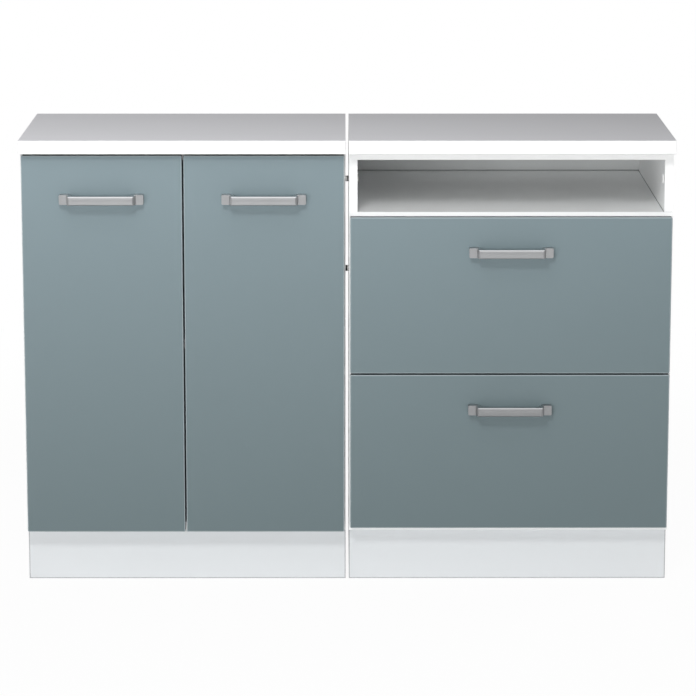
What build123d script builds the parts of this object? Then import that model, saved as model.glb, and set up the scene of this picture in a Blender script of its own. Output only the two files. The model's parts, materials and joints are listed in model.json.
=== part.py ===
from build123d import *
import os
from collections import namedtuple
from math import hypot

os.makedirs("parts", exist_ok=True)

# Lengths are in millimetres and angles in degrees: X to the right, Y to the back, Z up.
# The origin lies on the floor, in the middle of the pair of units.

# Carcasses, worktops and the roof slope that they stand under
UNIT_WIDTH = 600.0
UNIT_GAP = 6.0
PLINTH_HEIGHT = 100.0
CARCASS_HEIGHT = 720.0
CARCASS_DEPTH = 560.0
BOARD = 16.0
BACK_BOARD = 8.0
BACK_REBATE = 8.0  # how far the backs sit in each side
RAIL_WIDTH = 80.0
WORKTOP_THICKNESS = 25.0
WORKTOP_DEPTH = 391.0  # of the top face, from its front edge to the roof
WORKTOP_OVERHANG = 41.0  # in front of the carcass
WORKTOP_EDGE_RADIUS = 1.5
ROOF_DROP = 147.0  # of the slope, from the worktop's rear edge to the back of the carcass
WALL_RAIL_DROP = 23.3  # from the slope, at the back, to the rail
NICHE_HEIGHT = 97.5
PLINTH_SETBACK = 21.0  # behind the carcass front
PLINTH_REAR_INSET = 40.0

# Fronts
FRONT_BOARD = 18.0
FRONT_STANDOFF = 3.0  # from the carcass to the back of a front
FRONT_REVEAL = 2.5  # from a front to the side of its unit
FRONT_SPLIT = 3.0  # between neighbouring fronts
FRONT_EDGE_RADIUS = 1.8
FRONT_CORNER_RADIUS = 2.5
DOOR_HEAD_GAP = 5.5  # below the top of the carcass
DOOR_FOOT_GAP = 1.5  # above the bottom of the carcass
DRAWER_FOOT_GAP = 8.5
DRAWER_OVERLAY = 9.0  # over the edge of the niche floor

# Bow handles: a strap with two end pads, two leaning legs and a bar
HANDLE_REACH = 35.0
HANDLE_PAD_START = 60.2
HANDLE_PAD_END = 77.6
HANDLE_PAD_THICKNESS = 4.0
HANDLE_PAD_HEIGHT = 18.5
HANDLE_PAD_CORNER_RADIUS = 2.5
HANDLE_PAD_EDGE_RADIUS = 0.8
HANDLE_LEG_FOOT = 66.2
HANDLE_LEG_HEAD = 60.2
HANDLE_LEG_THICKNESS = 7.0
HANDLE_BAR_THICKNESS = 8.0
HANDLE_HEIGHT = 16.5
HANDLE_SCREW_SPACING = 128.0
HANDLE_THREAD = 6.0
HANDLE_BEVEL = 2.2
HANDLE_CROWN_RADIUS = 42.0  # of the bar's slightly arched front
HANDLE_FOOT_RADIUS = 1.0
HANDLE_INNER_RADIUS = 4.0
HANDLE_EDGE_RADIUS = 0.5
DOOR_HANDLE_DROP = 79.5  # from the top of a door to the middle of its handle
DRAWER_HANDLE_DROP = 64.0

# Shelf
SHELF_RISE = 346.0  # from the bottom of the carcass
SHELF_SETBACK = 20.0
SHELF_REAR_GAP = 10.0
SHELF_SIDE_GAP = 1.0
SHELF_PIN_RADIUS = 3.5
SHELF_PIN_REACH = 9.0
SHELF_HOLE_RADIUS = 2.5
SHELF_HOLE_DEPTH = 10.0
SHELF_HOLE_ROWS = 5
SYSTEM_PITCH = 32.0
SYSTEM_SETBACK = 37.0  # from the carcass front to the first column of holes
SHELF_REAR_COLUMN = 60.0  # from the back to the rear column of holes

# Door hinges: a cup in the door, a pin across it and an arm on a plate
HINGE_INSET = 100.0  # from a door's top or bottom edge
HINGE_PIN_SETBACK = 7.2  # from the outer edge of the door
HINGE_PIN_DEPTH = 9.2  # behind the front of the door
HINGE_PIN_RADIUS = 1.25
HINGE_PIN_HALF = 9.0
HINGE_PIN_CLEARANCE = 0.05
HINGE_EYE_RADIUS = 2.4
CUP_SETBACK = 20.5
CUP_RADIUS = 17.5
CUP_DEPTH = 12.8
CUP_WALL = 0.8
CUP_FLANGE = 1.0
CUP_FLANGE_START = 14.0
CUP_FLANGE_END = 42.0
CUP_FLANGE_HALF = 29.0
CUP_FLANGE_RADIUS = 6.0
CUP_SCREW_SETBACK = 30.0
CUP_SCREW_SPACING = 45.0
CUP_LUG_GAP = 0.7  # between the arm and the lugs that hold the pin
ARM_THICKNESS = 2.5
ARM_HALF = 4.5
ARM_BODY_THICKNESS = 6.0
ARM_BODY_HALF = 7.5
ARM_BODY_START = 6.0  # behind the carcass front
ARM_BODY_END = 66.0
PLATE_THICKNESS = 4.0
PLATE_START = 12.0  # behind the carcass front
PLATE_END = 62.0
PLATE_HALF = 9.0
WING_WIDTH = 16.0
WING_HALF = 24.0

# Door bumpers
BUMPER_RADIUS = 5.0
BUMPER_CLEARANCE = 0.3
BUMPER_INSET = 20.0

# Drawers
BOX_REAR_CLEARANCE = 55.0  # from the back of a box to the back of the unit
BOX_RISE = 28.0  # from the bottom of a drawer front to its box
BOX_SIDE_HEIGHT = 86.0
BOX_BACK_HEIGHT = 165.0
BOX_LIP = 14.0
BOX_BOARD_GAP = 0.2
GALLERY_DROP = 15.0  # from the top of the box's back
GALLERY_RADIUS = 4.0
GALLERY_INSET = 1.5
SHEET = 1.2
BOX_SCREW_RISES = (35.0, 70.0)

# Roller runners
RUNNER_SPACE = 12.5  # between a side of the unit and a side of the box
RUNNER_START = 2.0  # behind the carcass front
RUNNER_END = 5.0  # behind the box
RUNNER_REACH = 10.0
RUNNER_RISE = 5.5  # from the bottom of the box
ROLLER_RADIUS = 8.2
ROLLER_WIDTH = 6.0
ROLLER_SIDE_GAP = 3.4  # from the side of the unit
ROLLER_END = 14.0  # from the end of its rail
ROLL_GAP = 0.3
RUNNER_HEADROOM = 0.8
AXLE_RADIUS = 2.0
AXLE_CLEARANCE = 0.05
RUNNER_SCREW_PLACES = (37.0, 229.0, 421.0)  # behind the carcass front

# Fasteners
Screw = namedtuple("Screw", "shank_radius length head_radius head_height")
PANEL_SCREW_BITE = 29.0  # past the board that it holds
WORKTOP_SCREW_BITE = 14.0
PANEL_SCREW = Screw(2.5, BOARD + PANEL_SCREW_BITE, 5.0, 3.0)
EURO_SCREW = Screw(2.5, 11.0, 4.2, 1.6)
WORKTOP_SCREW = Screw(2.0, BOARD + WORKTOP_SCREW_BITE, 4.0, 2.5)
WOOD_SCREW = Screw(1.75, 13.0, 3.5, 1.4)
HANDLE_SCREW = Screw(2.0, FRONT_BOARD + HANDLE_THREAD, 4.0, 2.2)
DRIVE_WIDTH = 1.0
DRIVE_DEPTH = 0.9
PANEL_SCREW_INSET = 60.0
WORKTOP_SCREW_INSET = 60.0
CONNECTOR_INSET = 30.0  # from the carcass front to the two front connectors
CONNECTOR_REAR_INSET = 50.0
CONNECTOR_HEAD_DROP = 55.0  # from the top of the carcass
CONNECTOR_MIDDLE_DROP = 224.0
CONNECTOR_REAR_DROP = 306.0
CONNECTOR_SLEEVE_RADIUS = 4.0
CONNECTOR_BOLT_RADIUS = 3.0
CONNECTOR_HEAD_RADIUS = 8.0
CONNECTOR_HEAD_HEIGHT = 2.0
SPACER_RADIUS = 5.3
CAP_PLUG_LENGTH = 8.0
WALL_HOLE_RADIUS = 3.0
WALL_HOLE_SPACING = 400.0

# Depths, from the front of the handles to the back of the carcasses
overall_depth = HANDLE_REACH + FRONT_BOARD + FRONT_STANDOFF + CARCASS_DEPTH
front_face_y = HANDLE_REACH - overall_depth / 2
front_back_y = front_face_y + FRONT_BOARD
carcass_front_y = front_back_y + FRONT_STANDOFF
carcass_rear_y = carcass_front_y + CARCASS_DEPTH
back_face_y = carcass_rear_y - BACK_BOARD
worktop_front_y = carcass_front_y - WORKTOP_OVERHANG
roof_edge_y = worktop_front_y + WORKTOP_DEPTH
plinth_front_y = carcass_front_y + PLINTH_SETBACK
plinth_rear_y = carcass_rear_y - PLINTH_REAR_INSET
box_rear_y = back_face_y - BOX_REAR_CLEARANCE

# Heights
carcass_floor_z = PLINTH_HEIGHT
carcass_top_z = carcass_floor_z + CARCASS_HEIGHT
top_z = carcass_top_z + WORKTOP_THICKNESS
ceiling_z = carcass_top_z - BOARD
niche_floor_z = ceiling_z - NICHE_HEIGHT
drawer_zone_top_z = niche_floor_z - BOARD
shelf_low_z = carcass_floor_z + SHELF_RISE
door_low_z = carcass_floor_z + DOOR_FOOT_GAP
door_high_z = carcass_top_z - DOOR_HEAD_GAP
drawer_low_z = carcass_floor_z + DRAWER_FOOT_GAP
drawer_high_z = drawer_zone_top_z + DRAWER_OVERLAY
drawer_front_height = (drawer_high_z - drawer_low_z - FRONT_SPLIT) / 2
door_width = (UNIT_WIDTH - 2 * FRONT_REVEAL - FRONT_SPLIT) / 2

# The two units and the two doors, each with the X direction that leads into it
Unit = namedtuple("Unit", "name left right")
left_unit = Unit("left_unit", -UNIT_GAP / 2 - UNIT_WIDTH, -UNIT_GAP / 2)
right_unit = Unit("right_unit", UNIT_GAP / 2, UNIT_GAP / 2 + UNIT_WIDTH)
Door = namedtuple("Door", "name edge_x inward")
left_door = Door("left_door", left_unit.left + FRONT_REVEAL, 1)
right_door = Door("right_door", left_unit.right - FRONT_REVEAL, -1)


# The roof plane falls by this much for each millimetre of depth
roof_fall = ROOF_DROP / (carcass_rear_y - roof_edge_y)


def roof_y(z, inset=0.0):
    """Depth of the roof plane at a height, or of a plane inset below it."""
    return roof_edge_y + (top_z - z - inset * hypot(1, roof_fall)) / roof_fall


def roof_z(y, inset=0.0):
    """Height of the roof plane at a depth, or of a plane inset below it."""
    return top_z - (y - roof_edge_y) * roof_fall - inset * hypot(1, roof_fall)


def save(piece, name):
    """Label a finished piece and write it."""
    piece.part.label = name
    export_step(piece.part, f"parts/{name}.step")


def section_outline(y_low, y_high, z_low, z_high):
    """The four corners of a rectangle in Y and Z."""
    return [(y_low, z_low), (y_high, z_low), (y_high, z_high), (y_low, z_high)]


def board(outline, x_low, x_high, mode=Mode.ADD):
    """A board of one outline in Y and Z, from x_low to x_high."""
    with BuildSketch(Plane.YZ.offset(x_low)) as section:
        Polygon(*outline)
    extrude(section.sketch, amount=x_high - x_low, mode=mode)


def rods(plane, points, radius, length, mode=Mode.ADD):
    """Round rods or holes from a plane, along its normal."""
    with BuildSketch(plane) as rings:
        with Locations(*points):
            Circle(radius)
    extrude(rings.sketch, amount=length, mode=mode)


def screws(seat, points, screw, facing):
    """Screws with their heads on a plane, facing along its normal (1) or against it (-1)."""
    rods(seat, points, screw.head_radius, facing * screw.head_height)
    rods(seat, points, screw.shank_radius, -facing * screw.length)
    with BuildSketch(seat.offset(facing * screw.head_height)) as drive:
        with Locations(*points):
            Rectangle(screw.head_radius, DRIVE_WIDTH)
            Rectangle(DRIVE_WIDTH, screw.head_radius)
    extrude(drive.sketch, amount=-facing * DRIVE_DEPTH, mode=Mode.SUBTRACT)


def screw_holes(seat, points, screw, facing):
    """Holes that the shanks of such screws fill."""
    rods(seat, points, screw.shank_radius, -facing * screw.length, Mode.SUBTRACT)


# Outlines in Y and Z that both units share
side_outline = [
    (carcass_front_y, carcass_floor_z),
    (carcass_rear_y, carcass_floor_z),
    (carcass_rear_y, roof_z(carcass_rear_y)),
    (roof_y(carcass_top_z), carcass_top_z),
    (carcass_front_y, carcass_top_z),
]
back_outline = [
    (back_face_y, carcass_floor_z),
    (carcass_rear_y, carcass_floor_z),
    (carcass_rear_y, roof_z(carcass_rear_y, BACK_BOARD)),
    (back_face_y, roof_z(back_face_y, BACK_BOARD)),
]
sloped_back_outline = [
    (carcass_rear_y, roof_z(carcass_rear_y, BACK_BOARD)),
    (carcass_rear_y, roof_z(carcass_rear_y)),
    (roof_y(carcass_top_z), carcass_top_z),
    (roof_y(carcass_top_z, BACK_BOARD), carcass_top_z),
]
bottom_outline = section_outline(
    carcass_front_y, back_face_y, carcass_floor_z, carcass_floor_z + BOARD
)
top_panel_outline = [
    (carcass_front_y, ceiling_z),
    (roof_y(ceiling_z, BACK_BOARD), ceiling_z),
    (roof_y(carcass_top_z, BACK_BOARD), carcass_top_z),
    (carcass_front_y, carcass_top_z),
]
rear_rail_front_y = roof_y(carcass_top_z, BACK_BOARD) - RAIL_WIDTH
front_rail_outline = section_outline(
    carcass_front_y, carcass_front_y + RAIL_WIDTH, ceiling_z, carcass_top_z
)
rear_rail_outline = [
    (rear_rail_front_y, ceiling_z),
    (roof_y(ceiling_z, BACK_BOARD), ceiling_z),
    (roof_y(carcass_top_z, BACK_BOARD), carcass_top_z),
    (rear_rail_front_y, carcass_top_z),
]
niche_floor_outline = section_outline(carcass_front_y, back_face_y, drawer_zone_top_z, niche_floor_z)
roof_cut_outline = [
    (roof_y(top_z, BACK_BOARD), top_z),
    (carcass_rear_y, roof_z(carcass_rear_y, BACK_BOARD)),
    (carcass_rear_y, top_z),
]
wall_rail_high_z = roof_z(back_face_y, BACK_BOARD) - WALL_RAIL_DROP
wall_rail_low_z = wall_rail_high_z - RAIL_WIDTH
wall_rail_outline = section_outline(
    back_face_y - BOARD, back_face_y, wall_rail_low_z, wall_rail_high_z
)
worktop_outline = [
    (worktop_front_y, carcass_top_z),
    (roof_y(carcass_top_z), carcass_top_z),
    (roof_edge_y, top_z),
    (worktop_front_y, top_z),
]

# Places of the fasteners, as (y, z) on the sides
rail_screw_ys = (carcass_front_y + RAIL_WIDTH / 2, rear_rail_front_y + RAIL_WIDTH / 2)
shared_panel_points = [
    (carcass_front_y + PANEL_SCREW_INSET, carcass_floor_z + BOARD / 2),
    (back_face_y - PANEL_SCREW_INSET, carcass_floor_z + BOARD / 2),
    (rail_screw_ys[0], carcass_top_z - BOARD / 2),
    (rail_screw_ys[1], carcass_top_z - BOARD / 2),
    (back_face_y - BOARD / 2, wall_rail_low_z + RAIL_WIDTH / 2),
]
niche_panel_points = [
    (carcass_front_y + PANEL_SCREW_INSET, niche_floor_z - BOARD / 2),
    (back_face_y - PANEL_SCREW_INSET, niche_floor_z - BOARD / 2),
]
panel_points = {
    left_unit: shared_panel_points,
    right_unit: shared_panel_points + niche_panel_points,
}
front_connector_y = carcass_front_y + CONNECTOR_INSET
rear_connector_y = back_face_y - CONNECTOR_REAR_INSET
connector_points = [
    (front_connector_y, carcass_top_z - CONNECTOR_HEAD_DROP),
    (front_connector_y, carcass_top_z - CONNECTOR_MIDDLE_DROP),
    (rear_connector_y, carcass_top_z - CONNECTOR_REAR_DROP),
]
hinge_zs = (door_low_z + HINGE_INSET, door_high_z - HINGE_INSET)
hinge_screw_points = [
    (carcass_front_y + SYSTEM_SETBACK, z + side * SYSTEM_PITCH / 2) for z in hinge_zs for side in (-1, 1)
]
shelf_pin_z = shelf_low_z - SHELF_PIN_RADIUS
shelf_pin_ys = (carcass_front_y + SYSTEM_SETBACK, back_face_y - SHELF_REAR_COLUMN)
shelf_pin_points = [(y, shelf_pin_z) for y in shelf_pin_ys]
shelf_hole_points = [
    (y, shelf_pin_z + (row - SHELF_HOLE_ROWS // 2) * SYSTEM_PITCH)
    for y in shelf_pin_ys
    for row in range(SHELF_HOLE_ROWS)
]

# Heights of the runners, for each drawer
Drawer = namedtuple("Drawer", "name low_z box_z")
drawer_step = drawer_front_height + FRONT_SPLIT
lower_drawer = Drawer("lower_drawer", drawer_low_z, drawer_low_z + BOX_RISE)
upper_drawer = Drawer("upper_drawer", drawer_low_z + drawer_step, lower_drawer.box_z + drawer_step)
drawers = (lower_drawer, upper_drawer)
runner_floor_rise = RUNNER_RISE + SHEET
running_flange_rise = runner_floor_rise + 2 * (ROLLER_RADIUS + ROLL_GAP) + ROLL_GAP
runner_height = running_flange_rise + 2 * SHEET + RUNNER_HEADROOM - RUNNER_RISE
runner_front_y = carcass_front_y + RUNNER_START
runner_length = box_rear_y + RUNNER_END - runner_front_y
runner_screw_points = [
    (carcass_front_y + place, drawer.box_z + RUNNER_RISE + runner_height / 2)
    for drawer in drawers
    for place in RUNNER_SCREW_PLACES
]


def side_faces(x_low, inward):
    """X of the inner and the outer face of a side board whose inner face looks inward."""
    if inward > 0:
        return x_low + BOARD, x_low
    return x_low, x_low + BOARD


def build_side(unit, name, x_low, inward, joined):
    """A side board, with its rebates and the holes for what is fixed to it."""
    inner_x, outer_x = side_faces(x_low, inward)
    inner_face = Plane.YZ.offset(inner_x)
    screw_seat = Plane.YZ.offset(outer_x + inward * PANEL_SCREW.head_height)
    with BuildPart() as side:
        board(side_outline, x_low, x_low + BOARD)
        board(back_outline, inner_x - inward * BACK_REBATE, inner_x, Mode.SUBTRACT)
        board(sloped_back_outline, inner_x - inward * BACK_REBATE, inner_x, Mode.SUBTRACT)
        screw_holes(screw_seat, panel_points[unit], PANEL_SCREW, -inward)
        head_depth = -inward * PANEL_SCREW.head_height
        rods(screw_seat, panel_points[unit], PANEL_SCREW.head_radius, head_depth, Mode.SUBTRACT)
        plug_depth = -inward * (BOARD if joined else CAP_PLUG_LENGTH)
        rods(inner_face, connector_points, CONNECTOR_SLEEVE_RADIUS, plug_depth, Mode.SUBTRACT)
        if unit is left_unit:
            hinge_seat = inner_face.offset(inward * PLATE_THICKNESS)
            screw_holes(hinge_seat, hinge_screw_points, EURO_SCREW, inward)
            hole_depth = -inward * SHELF_HOLE_DEPTH
            rods(inner_face, shelf_hole_points, SHELF_HOLE_RADIUS, hole_depth, Mode.SUBTRACT)
        else:
            screw_holes(inner_face.offset(inward * SHEET), runner_screw_points, EURO_SCREW, inward)
    save(side, f"{unit.name}_{name}")


def panel_screw_seats(unit):
    """The planes under the heads of a unit's panel screws, and where the heads face."""
    left_seat = Plane.YZ.offset(unit.left + PANEL_SCREW.head_height)
    right_seat = Plane.YZ.offset(unit.right - PANEL_SCREW.head_height)
    return ((left_seat, -1), (right_seat, 1))


def panel(unit, outline):
    """A board between the sides of a unit, with the holes for its panel screws."""
    board(outline, unit.left + BOARD, unit.right - BOARD)
    for seat, facing in panel_screw_seats(unit):
        screw_holes(seat, panel_points[unit], PANEL_SCREW, facing)


def worktop_screw_points(unit):
    """(x, y) of the screws that hold the worktop down."""
    inset = BOARD + WORKTOP_SCREW_INSET
    return [(x, y) for x in (unit.left + inset, unit.right - inset) for y in rail_screw_ys]


def wall_points(unit):
    """(x, z) of the holes through which a unit is screwed to the wall."""
    middle = (unit.left + unit.right) / 2
    wall_hole_z = wall_rail_low_z + RAIL_WIDTH / 2
    return [(middle + side * WALL_HOLE_SPACING / 2, wall_hole_z) for side in (-1, 1)]


# Sides
for unit, names, joined in (
    (left_unit, ("outer_side", "inner_side"), (False, True)),
    (right_unit, ("inner_side", "outer_side"), (True, False)),
):
    build_side(unit, names[0], unit.left, 1, joined[0])
    build_side(unit, names[1], unit.right - BOARD, -1, joined[1])

# Bottoms, backs and worktops
rail_seat = Plane.XY.offset(ceiling_z)
for unit in (left_unit, right_unit):
    with BuildPart() as bottom:
        panel(unit, bottom_outline)
    save(bottom, f"{unit.name}_bottom")

    with BuildPart() as back:
        board(back_outline, unit.left + BOARD - BACK_REBATE, unit.right - BOARD + BACK_REBATE)
        wall_face = Plane.XZ.offset(-carcass_rear_y)
        rods(wall_face, wall_points(unit), WALL_HOLE_RADIUS, BACK_BOARD, Mode.SUBTRACT)
    save(back, f"{unit.name}_back")

    with BuildPart() as sloped_back:
        board(sloped_back_outline, unit.left + BOARD - BACK_REBATE, unit.right - BOARD + BACK_REBATE)
    save(sloped_back, f"{unit.name}_sloped_back")

    with BuildPart() as worktop:
        board(worktop_outline, unit.left, unit.right)
        fillet(worktop.faces().sort_by(Axis.Y)[0].edges(), WORKTOP_EDGE_RADIUS)
        screw_holes(rail_seat, worktop_screw_points(unit), WORKTOP_SCREW, -1)
    save(worktop, f"{unit.name}_worktop")

# Top rails of the left unit, and the panels above and below the niche of the right one
with BuildPart() as left_unit_top_rails:
    panel(left_unit, front_rail_outline)
    panel(left_unit, rear_rail_outline)
    screw_holes(rail_seat, worktop_screw_points(left_unit), WORKTOP_SCREW, -1)
save(left_unit_top_rails, "left_unit_top_rails")

with BuildPart() as right_unit_top_panel:
    panel(right_unit, top_panel_outline)
    screw_holes(rail_seat, worktop_screw_points(right_unit), WORKTOP_SCREW, -1)
save(right_unit_top_panel, "right_unit_top_panel")

with BuildPart() as niche_floor:
    panel(right_unit, niche_floor_outline)
    board(roof_cut_outline, right_unit.left, right_unit.right, Mode.SUBTRACT)
save(niche_floor, "niche_floor")

# Rails at the back through which the units are screwed to the wall
with BuildPart() as wall_rails:
    for unit in (left_unit, right_unit):
        panel(unit, wall_rail_outline)
        wall_face = Plane.XZ.offset(-back_face_y)
        rods(wall_face, wall_points(unit), WALL_HOLE_RADIUS, BOARD, Mode.SUBTRACT)
save(wall_rails, "wall_rails")

# Plinths: a long board at the front and the rear of each unit, and two side boards between them
plinth_front_outline = section_outline(plinth_front_y, plinth_front_y + BOARD, 0, PLINTH_HEIGHT)
plinth_rear_outline = section_outline(plinth_rear_y - BOARD, plinth_rear_y, 0, PLINTH_HEIGHT)
plinth_side_outline = section_outline(plinth_front_y + BOARD, plinth_rear_y - BOARD, 0, PLINTH_HEIGHT)
with BuildPart() as plinth_long_boards:
    for unit in (left_unit, right_unit):
        board(plinth_front_outline, unit.left, unit.right)
        board(plinth_rear_outline, unit.left, unit.right)
save(plinth_long_boards, "plinth_long_boards")

with BuildPart() as plinth_side_boards:
    for unit in (left_unit, right_unit):
        board(plinth_side_outline, unit.left, unit.left + BOARD)
        board(plinth_side_outline, unit.right - BOARD, unit.right)
save(plinth_side_boards, "plinth_side_boards")

# Screws that join the boards, and that hold the worktops
with BuildPart() as panel_screws:
    for unit in (left_unit, right_unit):
        for seat, facing in panel_screw_seats(unit):
            screws(seat, panel_points[unit], PANEL_SCREW, facing)
save(panel_screws, "panel_screws")

with BuildPart() as worktop_screws:
    for unit in (left_unit, right_unit):
        screws(rail_seat, worktop_screw_points(unit), WORKTOP_SCREW, -1)
save(worktop_screws, "worktop_screws")

# Connectors that join the two units: a bolt in a sleeve, with a spacer in the gap
connector_length = 2 * BOARD + UNIT_GAP
bolt_seat = Plane.YZ.offset(left_unit.right - BOARD)
sleeve_seat = Plane.YZ.offset(right_unit.left + BOARD)
with BuildPart() as connector_bolts:
    rods(bolt_seat, connector_points, CONNECTOR_HEAD_RADIUS, -CONNECTOR_HEAD_HEIGHT)
    rods(bolt_seat, connector_points, CONNECTOR_BOLT_RADIUS, connector_length)
save(connector_bolts, "connector_bolts")

with BuildPart() as connector_sleeves:
    rods(sleeve_seat, connector_points, CONNECTOR_HEAD_RADIUS, CONNECTOR_HEAD_HEIGHT)
    rods(sleeve_seat, connector_points, CONNECTOR_SLEEVE_RADIUS, -connector_length)
    bore = -connector_length
    rods(sleeve_seat, connector_points, CONNECTOR_BOLT_RADIUS, bore, Mode.SUBTRACT)
save(connector_sleeves, "connector_sleeves")

with BuildPart() as connector_spacers:
    gap_face = Plane.YZ.offset(left_unit.right)
    rods(gap_face, connector_points, SPACER_RADIUS, UNIT_GAP)
    rods(gap_face, connector_points, CONNECTOR_SLEEVE_RADIUS, UNIT_GAP, Mode.SUBTRACT)
save(connector_spacers, "connector_spacers")

# Caps over the unused connector holes of the outer sides
with BuildPart() as hole_caps:
    for x, inward in ((left_unit.left + BOARD, 1), (right_unit.right - BOARD, -1)):
        cap_seat = Plane.YZ.offset(x)
        rods(cap_seat, connector_points, CONNECTOR_HEAD_RADIUS, inward * CONNECTOR_HEAD_HEIGHT)
        rods(cap_seat, connector_points, CONNECTOR_SLEEVE_RADIUS, -inward * CAP_PLUG_LENGTH)
save(hole_caps, "hole_caps")

# Shelf and its pins
shelf_outline = section_outline(
    carcass_front_y + SHELF_SETBACK, back_face_y - SHELF_REAR_GAP, shelf_low_z, shelf_low_z + BOARD
)
shelf_inset = BOARD + SHELF_SIDE_GAP
with BuildPart() as shelf:
    board(shelf_outline, left_unit.left + shelf_inset, left_unit.right - shelf_inset)
save(shelf, "shelf")

with BuildPart() as shelf_pins:
    for x, inward in ((left_unit.left + BOARD, 1), (left_unit.right - BOARD, -1)):
        pin_face = Plane.YZ.offset(x)
        rods(pin_face, shelf_pin_points, SHELF_PIN_RADIUS, inward * SHELF_PIN_REACH)
        rods(pin_face, shelf_pin_points, SHELF_HOLE_RADIUS, -inward * SHELF_HOLE_DEPTH)
save(shelf_pins, "shelf_pins")

# Doors and what they carry
door_back = Plane.XZ.offset(-front_back_y)
cup_seat = Plane.XZ.offset(-(front_back_y + CUP_FLANGE))
pin_y = front_face_y + HINGE_PIN_DEPTH
door_middle = door_width / 2
door_handle_z = door_high_z - DOOR_HANDLE_DROP


def front_panel(x_low, x_high, z_low, z_high):
    """A front board with slightly rounded corners."""
    with BuildSketch(Plane.XZ.offset(-front_back_y)) as face:
        with Locations(((x_low + x_high) / 2, (z_low + z_high) / 2)):
            RectangleRounded(x_high - x_low, z_high - z_low, FRONT_CORNER_RADIUS)
    extrude(face.sketch, amount=FRONT_BOARD)


def round_front_edges(piece):
    """Round the four edges of a front's face."""
    fillet(piece.faces().sort_by(Axis.Y)[0].edges(), FRONT_EDGE_RADIUS)


def handle_screw_points(x, z):
    """(x, z) of a handle's two screws."""
    return [(x + side * HANDLE_SCREW_SPACING / 2, z) for side in (-1, 1)]


def build_handle(name, x, z):
    """A bow handle centred on (x, z), on the face of a front."""
    leg_root = HANDLE_LEG_FOOT - HANDLE_LEG_THICKNESS
    bar_root = HANDLE_LEG_HEAD - HANDLE_LEG_THICKNESS
    bar_back = HANDLE_REACH - HANDLE_BAR_THICKNESS
    strap_end = HANDLE_PAD_END - HANDLE_PAD_CORNER_RADIUS
    pad_middle = (HANDLE_PAD_START + HANDLE_PAD_END) / 2
    pad_width = HANDLE_PAD_END - HANDLE_PAD_START
    half = [
        (strap_end, 0.0, 0.0),
        (strap_end, HANDLE_PAD_THICKNESS, 0.0),
        (HANDLE_LEG_FOOT, HANDLE_PAD_THICKNESS, HANDLE_FOOT_RADIUS),
        (HANDLE_LEG_HEAD, HANDLE_REACH, 0.0),
    ]
    inner_half = [
        (bar_root, bar_back, HANDLE_INNER_RADIUS),
        (leg_root, 0.0, HANDLE_EDGE_RADIUS),
    ]
    outside = half + [(-across, out, radius) for across, out, radius in reversed(half)]
    inside = [(-across, out, radius) for across, out, radius in reversed(inner_half)] + inner_half
    contour = outside + inside
    with BuildPart() as handle:
        with BuildSketch(Plane.XZ.offset(-front_face_y)) as pads:
            with Locations((x - pad_middle, z), (x + pad_middle, z)):
                RectangleRounded(pad_width, HANDLE_PAD_HEIGHT, HANDLE_PAD_CORNER_RADIUS)
        extrude(pads.sketch, amount=HANDLE_PAD_THICKNESS)
        pad_faces = handle.faces().filter_by(Axis.Y).group_by(Axis.Y)[0]
        fillet(pad_faces.edges(), HANDLE_PAD_EDGE_RADIUS)
        with BuildSketch(Plane.XY.offset(z - HANDLE_HEIGHT / 2)):
            with BuildLine():
                FilletPolyline(
                    *[(x + across, front_face_y - out) for across, out, radius in contour],
                    radius=[radius for across, out, radius in contour],
                    close=True,
                )
            make_face()
        extrude(amount=HANDLE_HEIGHT)
        chamfer(handle.faces().sort_by(Axis.Y)[0].edges(), HANDLE_BEVEL)
        with BuildSketch(Plane.YZ.offset(x - HANDLE_PAD_END)) as crown:
            with Locations((front_face_y - HANDLE_REACH + HANDLE_CROWN_RADIUS, z)):
                Circle(HANDLE_CROWN_RADIUS)
        extrude(crown.sketch, amount=2 * HANDLE_PAD_END, mode=Mode.INTERSECT)
        screw_holes(door_back, handle_screw_points(x, z), HANDLE_SCREW, -1)
    save(handle, name)


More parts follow.
